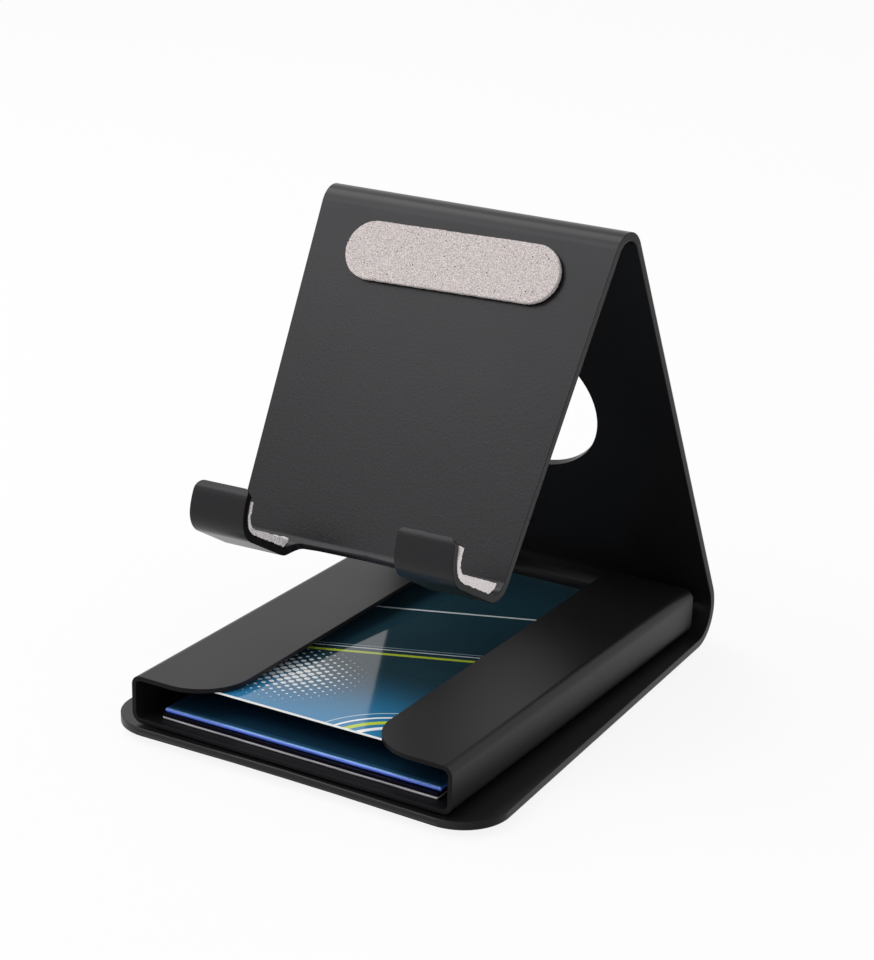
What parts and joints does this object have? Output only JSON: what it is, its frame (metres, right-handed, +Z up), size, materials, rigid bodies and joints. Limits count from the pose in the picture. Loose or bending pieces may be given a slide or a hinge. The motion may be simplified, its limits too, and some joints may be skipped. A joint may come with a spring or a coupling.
{
  "type": "phone stand with card holder",
  "caption": "Desk stand for a phone, folded from one sheet of black steel, with two padded hooks, a cable hole and a sheet tray that holds business cards on its foot plate.",
  "frame": {"origin": "on the desk, under the middle of the stand's depth and width", "axes": "+Z up, +X to the right as seen by the user, -Y towards the user, so the phone and the tray's mouth face -Y"},
  "size_m": [0.075, 0.093, 0.0852],
  "materials": {
    "powder_coat": "satin black powder coat on steel sheet",
    "foam_pad": "pale grey closed-cell foam with a fine open grain",
    "hook_lining": "off-white foam strip",
    "foot_rubber": "matte black rubber",
    "card_teal": "gloss laminated print on white card",
    "card_blue": "gloss laminated print with a blue edge",
    "card_navy": "gloss laminated print with a navy edge",
    "card_white": "uncoated white card"
  },
  "bodies": {
    "stand": {"stand_frame": "powder_coat", "card_tray": "powder_coat", "back_pad": "foam_pad", "hook_pad_left": "hook_lining", "hook_pad_right": "hook_lining", "foot_front_left": "foot_rubber", "foot_front_right": "foot_rubber", "foot_rear_left": "foot_rubber", "foot_rear_right": "foot_rubber"},
    "top_card": {"card_top": "card_teal"},
    "blue_card": {"card_blue": "card_blue"},
    "upper_navy_card": {"card_navy_upper": "card_navy"},
    "lower_navy_card": {"card_navy_lower": "card_navy"},
    "white_card": {"card_white": "card_white"}
  },
  "joints": [
    {"name": "top_card_slide", "type": "slide", "parent": "stand", "child": "top_card", "axis": [0, -1, 0], "range_m": [0, 0.055]},
    {"name": "blue_card_slide", "type": "slide", "parent": "stand", "child": "blue_card", "axis": [0, -1, 0], "range_m": [0, 0.055]},
    {"name": "upper_navy_card_slide", "type": "slide", "parent": "stand", "child": "upper_navy_card", "axis": [0, -1, 0], "range_m": [0, 0.055]},
    {"name": "lower_navy_card_slide", "type": "slide", "parent": "stand", "child": "lower_navy_card", "axis": [0, -1, 0], "range_m": [0, 0.055]},
    {"name": "white_card_slide", "type": "slide", "parent": "stand", "child": "white_card", "axis": [0, -1, 0], "range_m": [0, 0.055]}
  ]
}
